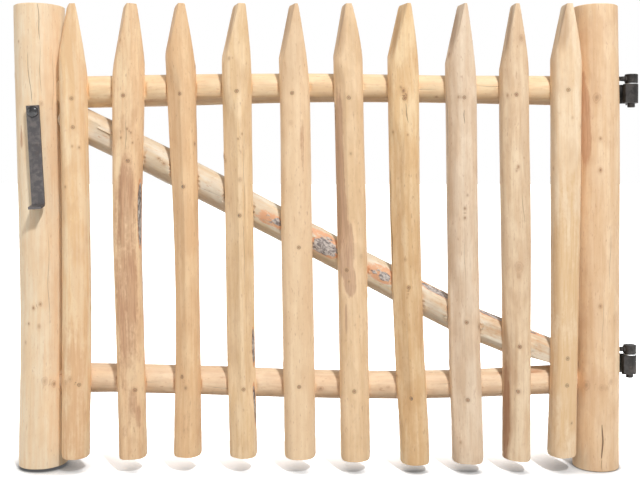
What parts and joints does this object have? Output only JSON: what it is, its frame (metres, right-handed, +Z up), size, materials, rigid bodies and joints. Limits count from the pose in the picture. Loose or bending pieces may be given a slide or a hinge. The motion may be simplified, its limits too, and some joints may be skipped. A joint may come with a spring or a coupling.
{
  "type": "picket gate",
  "caption": "Garden gate leaf of peeled round poles with pointed half-round pickets, a diagonal brace, pintle hinges and a swinging latch bar.",
  "frame": {"origin": "on the lower hinge bracket's outer face, which is screwed to the gate post, midway between its two screw holes", "axes": "+Z up, +X towards the gate post and out of that face, the pickets face -Y"},
  "size_m": [1.0241, 0.113, 0.7555],
  "materials": {
    "stile_wood": "peeled and dry",
    "rail_wood": "peeled and dry",
    "picket_wood": "peeled and dry",
    "black_steel": "satin black",
    "zinc": "zinc plated"
  },
  "bodies": {
    "post_side": {"lower_pintle_bracket": "black_steel", "upper_pintle_bracket": "black_steel", "lower_pintle_pin": "black_steel", "upper_pintle_pin": "black_steel", "lower_washer": "zinc", "upper_washer": "zinc"},
    "leaf": {"latch_stile": "stile_wood", "hinge_stile": "stile_wood", "top_rail": "rail_wood", "bottom_rail": "rail_wood", "diagonal_brace": "rail_wood", "picket_1": "picket_wood", "picket_2": "picket_wood", "picket_3": "picket_wood", "picket_4": "picket_wood", "picket_5": "picket_wood", "picket_6": "picket_wood", "picket_7": "picket_wood", "picket_8": "picket_wood", "picket_9": "picket_wood", "picket_10": "picket_wood", "upper_eye_bolt": "black_steel", "lower_eye_bolt": "black_steel", "latch_bolt": "black_steel", "latch_spacer": "black_steel", "latch_nut": "black_steel"},
    "latch": {"latch_bar": "black_steel"}
  },
  "joints": [
    {"name": "leaf_swing", "type": "hinge", "parent": "post_side", "child": "leaf", "pos_m": [-0.011, -0.027, 0], "axis": [0, 0, 1], "range_deg": [0, 95]},
    {"name": "latch_swing", "type": "hinge", "parent": "leaf", "child": "latch", "pos_m": [-0.9795, -0.027, 0.4128], "axis": [0, 1, 0], "range_deg": [-4, 180]}
  ]
}
